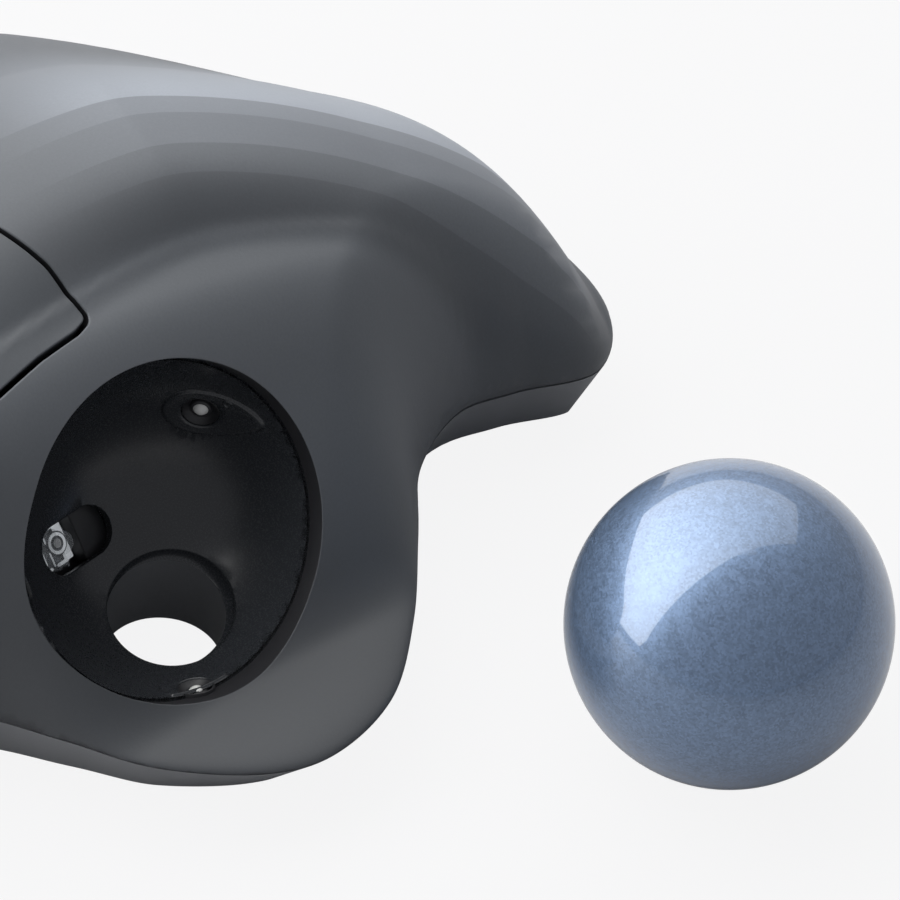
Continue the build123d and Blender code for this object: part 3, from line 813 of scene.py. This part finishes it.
def build_eye():
    """The sensor's clear optic with two round lenses and two bars, over a dark plate with white strips
    that carry a painted glow.
    """
    side = np.cross(EYE, EYE_LONG)
    axes = (EYE_LONG, side, EYE)
    optic = Piece()
    block(optic, SEAT + EYE * 20.6 - EYE_LONG * 1.9, axes, (6.0, 5.0, 1.4), 1.6)
    for along, tall in ((-1.45, 2.4), (-2.35, 2.0)):
        block(optic, SEAT + EYE * 19.1 + EYE_LONG * along, axes, (0.3, 4.3, tall), 0.1)
    for along, r in ((-0.3, 1.25), (-3.5, 0.75)):
        lathe(optic, SEAT + EYE_LONG * along, EYE,
              [(19.9, r), (18.9, r), (18.8, r - 0.06), (18.82, r - 0.2), (19.1, r - 0.25), (18.85, r * 0.6),
               (18.7, r * 0.3), (18.66, 0.02)], 64)
    optic.finish("sensor_optic", "case", "sensor_lens", materials=[CLEAR.material], sharp=45)
    plate = Piece()
    block(plate, SEAT + EYE * 22.4, axes, (9.4, 7.4, 1.8), 0.3, 1)
    strips = [                   # place along and across, length, width
        (0.55, 0.0, 1.1, 4.4), (-0.7, -2.05, 2.6, 0.8), (-2.9, -1.9, 1.2, 0.5), (-0.4, 2.15, 1.5, 0.35),
        (-2.2, 2.15, 0.7, 0.3), (-3.3, 2.0, 0.6, 0.3), (-1.45, 0.1, 0.12, 4.0), (-2.35, -0.2, 0.1, 3.6),
        (-4.4, 0.2, 0.35, 2.4),
    ]
    for along, across, long, wide in strips:
        block(plate, SEAT + EYE * 20.3 + EYE_LONG * along + side * across, axes, (long, wide, 0.25), 0.1, 0)
    for along, r in ((-0.3, 1.3), (-3.5, 0.8)):
        at = SEAT + EYE_LONG * along
        lathe(plate, at, EYE, [(20.4, r), (20.05, r), (20.0, r - 0.05), (20.0, 0.02)], 48, 1)
        lathe(plate, at, EYE, [(20.0, r - 0.15), (19.94, r - 0.2), (19.94, r - 0.45), (20.0, r - 0.5)], 48, 0)
    lathe(plate, SEAT - EYE_LONG * 0.3, EYE, [(19.95, 0.5), (19.9, 0.45), (19.9, 0.02)], 32, 2)
    slots = [GLOWING_WHITE.material, INNER_AND_SHADE.material, BEARING.material]
    plate.finish("sensor_face", "case", "sensor_chip", materials=slots)
    baffle = Piece()
    block(baffle, SEAT + EYE * 20.0 + EYE_LONG * 3.2, axes, (3.8, 6.0, 3.0), 0.5)
    block(baffle, SEAT + EYE * 24.2, axes, (14.4, 10.4, 1.1), 0.6)
    baffle.finish("sensor_baffle", "case", "sensor_board", materials=[INNER_AND_SHADE.material])


def build_ball():
    ball = Piece()
    turns = np.linspace(0.0005, math.pi - 0.0005, 181)
    tilt = np.array([0.3, 0.2, 0.93])
    arc = [(-BALL_R * math.cos(t), BALL_R * math.sin(t)) for t in turns]
    lathe(ball, BALL, tilt / np.linalg.norm(tilt), arc, 256)
    ball.finish("trackball", "loose_ball", "ball", materials=[PEARL.material], weld=0.02)


build_bowl()
build_bearings()
build_eye()
build_ball()


# ---- lower case, feet, door and underside --------------------------------------------------------
FEET = {
    "foot_middle": (0.0, 0.0, 3.0),
    "foot_thumb_side": (-38.0, -12.0, 4.0),
    "foot_front_left": (-12.0, 50.0, 4.0),
    "foot_front_right": (36.0, 47.0, 4.0),
    "foot_rear_right": (37.0, -28.0, 4.0),
    "foot_rear_left": (-3.5, -50.0, 3.0),
}
SCREWS = [(-5.5, -38.0), (41.0, -18.0), (31.0, 56.6), (-5.5, 57.0)]
DOOR = (5.0, 32.5, -55.0, 11.0)


def lower_ring(t):
    """The lower case's outline, from the seam at t = 0 to the underside at t = 1."""
    wing = np.exp(-((EDGE[:, 0] + 50) ** 2 + (EDGE[:, 1] + 14) ** 2) / 700)
    tuck = (3.5 + 3.7 * wing) * t
    ring = EDGE - outward(EDGE) * tuck[:, None]
    return np.column_stack([ring, np.full(len(ring), 9.92 - 9.22 * t)])


def flat_ring(loop, z):
    return np.column_stack([loop, np.full(len(loop), z)])


def build_lower():
    tub = Piece()
    steps = [flat_ring(EDGE - outward(EDGE) * 1.2, 9.8), flat_ring(EDGE - outward(EDGE) * 0.15, 9.8)]
    steps += [lower_ring(t) for t in (0.01, 0.05, 0.12, 0.2, 0.3, 0.4, 0.5, 0.6, 0.7, 0.8, 0.88, 0.94)]
    base = lower_ring(1.0)
    base = base[:, :2] - outward(base[:, :2]) * 0.9
    near = lower_ring(0.985)[:, :2] * 0.5 + base * 0.5
    steps += [flat_ring(near, 0.78), flat_ring(base, UNDERSIDE_Z)]
    tub.rings(steps, flip=True)
    hem = evenly(base, 1.2)
    left, right, rear, front = DOOR
    opening = rectangle(left - DOOR_ROOM, right + DOOR_ROOM, rear - DOOR_ROOM, front + DOOR_ROOM, 1.5, 1.0)
    holes = []
    for x, y, r in FEET.values():
        holes.append((circle(r + 0.12, 40) + [x, y], 1.4, 0))
    for x, y in SCREWS:
        holes.append((circle(2.7, 40) + [x, y], 4.6, 1))
    holes.append((circle(HOLE_R + 0.35, 72) + HOLE, None, 0))
    holes.append((opening, 2.5, 1))
    holes.append((circle(2.8, 40) + [-4.5, 22.5], 2.6, 1))
    holes.append((rectangle(-16.0, -6.0, 27.5, 32.5, 0.8, 0.6), 1.8, 1))
    for loop, depth, mark in holes:
        if depth is None:
            bore = circle(BORE_R, 72) + HOLE + BORE_SHIFT
            wall = [flat_ring(loop, UNDERSIDE_Z), flat_ring(bore + outward(bore) * 0.1, 0.8)]
            wall.append(flat_ring(bore, 1.0))
            wall.append(level(hole_ring(BORE_R, BORE_SHIFT, 72), BOWL_R) - [0, 0, 0.9])
            tub.rings(wall, mark=0)
            continue
        tub.rings([flat_ring(loop, UNDERSIDE_Z), flat_ring(loop, depth)], mark=mark)
        tub.cap(flat_ring(loop, depth), mark=mark)
    firsts = [h[0] for h in holes]

    def keep(p):
        return inside(p, hem) & ~np.any([inside(p, first) for first in firsts], axis=0)

    chart, faces = fill([hem, *firsts], keep, 4.0)
    tub.add(np.column_stack([chart, np.full(len(chart), UNDERSIDE_Z)]), faces[:, ::-1].tolist())
    tub.finish("lower_case", "case", "bottom_shell", materials=[LOWER.material, INNER_AND_SHADE.material], sharp=35)


def build_feet():
    for name, (x, y, r) in FEET.items():
        foot = Piece()
        lathe(foot, np.array([x, y, 0.0]), np.array([0, 0, 1.0]),
              [(1.4, r - 0.02), (0.25, r - 0.02), (0.08, r - 0.08), (0.0, r - 0.3), (0.0, 0.01)], 48)
        foot.finish(name + "_pad", "case", name, materials=[FOOT.material])


def build_wheel():
    tyre = Piece()
    ridges = 40
    a = np.linspace(0, 2 * math.pi, ridges * 8, endpoint=False)
    groove = 0.35 * np.clip(np.cos(a * ridges) * 1.6, -1, 1)
    rings = []
    for x, r, k in ((-2.9, 9.62, 0), (-3.3, 9.7, 0), (-3.4, 10.2, 0), (-3.35, 10.9, 0.1), (-3.0, 11.4, 0.5),
                    (-2.2, 11.62, 1), (0, 11.65, 1), (2.2, 11.62, 1), (3.0, 11.4, 0.5), (3.35, 10.9, 0.1),
                    (3.4, 10.2, 0), (3.3, 9.7, 0), (2.9, 9.62, 0)):
        radius = r + groove * k
        rings.append(WHEEL + np.column_stack([np.full(len(a), x), radius * np.cos(a), radius * np.sin(a)]))
    tyre.rings(rings)
    tyre.finish("ribbed_tyre", "wheel", "wheel_tyre", materials=[RUBBER.material], sharp=60)
    hub = Piece()
    lathe(hub, WHEEL, np.array([1.0, 0, 0]),
          [(-2.9, 1.02), (-2.9, 2.4), (-2.3, 2.6), (-2.3, 8.2), (-2.9, 8.5), (-2.9, 9.55), (2.9, 9.55),
           (2.9, 8.5), (2.3, 8.2), (2.3, 2.6), (2.9, 2.4), (2.9, 1.02), (-2.9, 1.02)], 96)
    hub.finish("wheel_hub", "wheel", "scroll_wheel", materials=[INNER_AND_SHADE.material])


def build_light_pipe():
    pipe = Piece()
    top = float(skin_z(np.array([LIGHT]))[0])
    lathe(pipe, np.array([*LIGHT, 0.0]), np.array([0, 0, 1.0]),
          [(17.0, 0.02), (17.0, 1.1), (top - 0.25, 1.1), (top - 0.1, 0.95), (top - 0.05, 0.02)], 32)
    pipe.finish("light_window", "case", "status_light_pipe", materials=[LIGHT_PIPE.material])


def build_door():
    door = Piece()
    loop = rectangle(*DOOR, 1.2, 0.8)
    inner = loop - outward(loop) * 0.15
    door.rings([flat_ring(loop, 2.1), flat_ring(loop, 0.85), flat_ring(inner, UNDERSIDE_Z)], flip=True)
    door.cap(flat_ring(loop, 2.1))
    arrow = rectangle(12.0, 25.5, -2.0, 4.0, 1.5, 0.8)
    chart, faces = fill([inner, arrow], lambda p: inside(p, inner) & ~inside(p, arrow), 4.0)
    door.add(np.column_stack([chart, np.full(len(chart), UNDERSIDE_Z)]), faces[:, ::-1].tolist())
    for k in range(3):
        y = -0.9 + k * 1.9
        door.rings([flat_ring(rectangle(13.2, 24.3, y - 0.35, y + 0.35, 0.3, 0.3), 1.0),
                    flat_ring(rectangle(13.3, 24.2, y - 0.25, y + 0.25, 0.24, 0.3), 0.75)], flip=True)
    recess = flat_ring(arrow - outward(arrow) * 0.4, 1.1)
    door.rings([flat_ring(arrow, UNDERSIDE_Z), recess])
    door.cap(recess, flip=True)
    door.finish("battery_lid", "door", "battery_door", materials=[LOWER.material], sharp=35)


build_lower()
build_feet()
build_wheel()
build_light_pipe()
build_door()

# ---- the remaining pieces keep their shape and take a finish -------------------------------------
FINISHES = {
    INNER_AND_SHADE: ["wheel_yoke", "wheel_guide", "scroll_encoder", "battery_bay", "receiver", "power_switch_knob",
            "pairing_button", "left_click_switch", "right_click_switch", "back_switch", "forward_switch",
            "wheel_click_switch", "pairing_switch", "power_switch", "radio_chip"],
    BOARD: ["main_board"],
    STEEL: ["wheel_axle", "battery_contact_plus", "battery_spring", "receiver_plug", "board_screws",
            "case_screws"],
    CELL: ["battery"],
    LIGHT_PIPE: ["status_lamp"],
}
for paint, names in FINISHES.items():
    for name in names:
        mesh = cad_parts[name].data
        mesh.materials.clear()
        mesh.materials.append(paint.material)


# ---- camera, light and table ---------------------------------------------------------------------
def look(location, direction, up):
    """World matrix at a place, looking against a direction."""
    back = Vector(direction).normalized()
    side = Vector(up).cross(back).normalized()
    turn = Matrix((side, back.cross(side), back)).transposed()
    return Matrix.Translation(Vector(location)) @ turn.to_4x4()


def build_camera():
    data = bpy.data.cameras.new("long lens")
    data.lens, data.sensor_width = 800.0, 36.0
    camera = bpy.data.objects.new("camera", data)
    bpy.context.scene.collection.objects.link(camera)
    toward = Vector(LENS_BACK).normalized()
    centre = Vector(VIEW_CENTRE) * MM
    distance = VIEW_WIDTH * MM * data.lens / data.sensor_width
    data.clip_start, data.clip_end = 0.1, 20.0
    camera.matrix_world = look(centre + toward * distance, toward, LENS_UP)
    bpy.context.scene.camera = camera


def mirrored(x, y):
    """Direction the ball mirrors towards the camera from a point on its disc, x and y from -1 to 1."""
    back = Vector(LENS_BACK).normalized()
    normal = Vector(LENS_SIDE) * x + Vector(LENS_UP) * y + back * math.sqrt(max(1 - x * x - y * y, 0))
    way = normal * (2 * normal.dot(back)) - back
    way.z = max(way.z, 0.02)
    return way.normalized()


def build_softbox():
    """Bent softbox whose image lies on the ball's upper left."""
    far = [(-0.78, -0.08), (-0.805, 0.13), (-0.745, 0.34), (-0.61, 0.55), (-0.42, 0.73), (-0.18, 0.84),
           (-0.02, 0.865), (0.18, 0.83), (0.30, 0.78), (0.40, 0.71)]
    near = [(-0.54, -0.13), (-0.50, -0.10), (-0.44, 0.0), (-0.35, 0.11), (-0.24, 0.22), (-0.11, 0.32),
            (0.02, 0.40), (0.16, 0.455), (0.28, 0.475), (0.39, 0.475)]
    centre = Vector(BALL)
    points = [centre + mirrored(*p) * 700 for p in far + near]
    mesh = bpy.data.meshes.new("softbox")
    n = len(far)
    faces = [(k, k + 1, n + k + 1, n + k) for k in range(n - 1)]
    mesh.from_pydata([tuple(p * MM) for p in points], [], faces)
    lit(mesh, "softbox", 2.4)


def lit(mesh, name, strength):
    """Shows a mesh as a glowing panel, brighter towards +Y, that the camera doesn't see."""
    paint = Paint(name + " glow")
    paint.tree.nodes.remove(paint.shader)
    power = paint.ramp(paint.axis("Y"), -0.5, 0.55, strength * 0.75, strength * 2.3)
    light = paint.node("ShaderNodeEmission", 0, Color=rgb(1, 1, 1), Strength=power)
    paint.tree.links.new(light.socket, paint.tree.nodes["Material Output"].inputs["Surface"])
    mesh.materials.append(paint.material)
    obj = bpy.data.objects.new(name, mesh)
    bpy.context.scene.collection.objects.link(obj)
    obj.visible_camera = False


def area(name, where, size, power, aim=(0.0, 0.0, 20.0)):
    data = bpy.data.lights.new(name, "AREA")
    data.shape, data.size, data.size_y, data.energy = "RECTANGLE", *size, power
    obj = bpy.data.objects.new(name, data)
    bpy.context.scene.collection.objects.link(obj)
    place, target = Vector(where) * MM, Vector(aim) * MM
    obj.matrix_world = look(place, place - target, (0.3, 0.9, 0.1))


def build_stage():
    mesh = bpy.data.meshes.new("table")
    mesh.from_pydata([(-3, -3, 0), (3, -3, 0), (3, 3, 0), (-3, 3, 0)], [], [(0, 1, 2, 3)])
    table = bpy.data.objects.new("table", mesh)
    bpy.context.scene.collection.objects.link(table)
    paint = Paint("white table")
    fine = paint.noise(40.0)
    paint.set(Base_Color=paint.mix(fine, rgb(0.42, 0.42, 0.425), rgb(0.44, 0.44, 0.445)), Roughness=0.6)
    seen = paint.node("ShaderNodeLightPath", "Is Camera Ray")
    clear = paint.node("ShaderNodeEmission", 0, Color=rgb(0.955, 0.955, 0.96), Strength=1.0)
    blend = paint.node("ShaderNodeMixShader", 0, Fac=seen * 0.93)
    mixer = blend.socket.node
    paint.tree.links.new(paint.shader.outputs[0], mixer.inputs[1])
    paint.tree.links.new(clear.socket, mixer.inputs[2])
    paint.tree.links.new(blend.socket, paint.tree.nodes["Material Output"].inputs["Surface"])
    mesh.materials.append(paint.material)
    world = bpy.data.worlds.new("studio")
    world.use_nodes = True
    bpy.context.scene.world = world
    tree = world.node_tree
    tree.nodes["Background"].inputs["Color"].default_value = rgb(0.93, 0.95, 1.0)
    tree.nodes["Background"].inputs["Strength"].default_value = 0.45


build_camera()
build_stage()
build_softbox()
area("top light", (250.0, -60.0, 620.0), (0.5, 0.5), 0.8)
bpy.context.scene.view_settings.view_transform = "Standard"
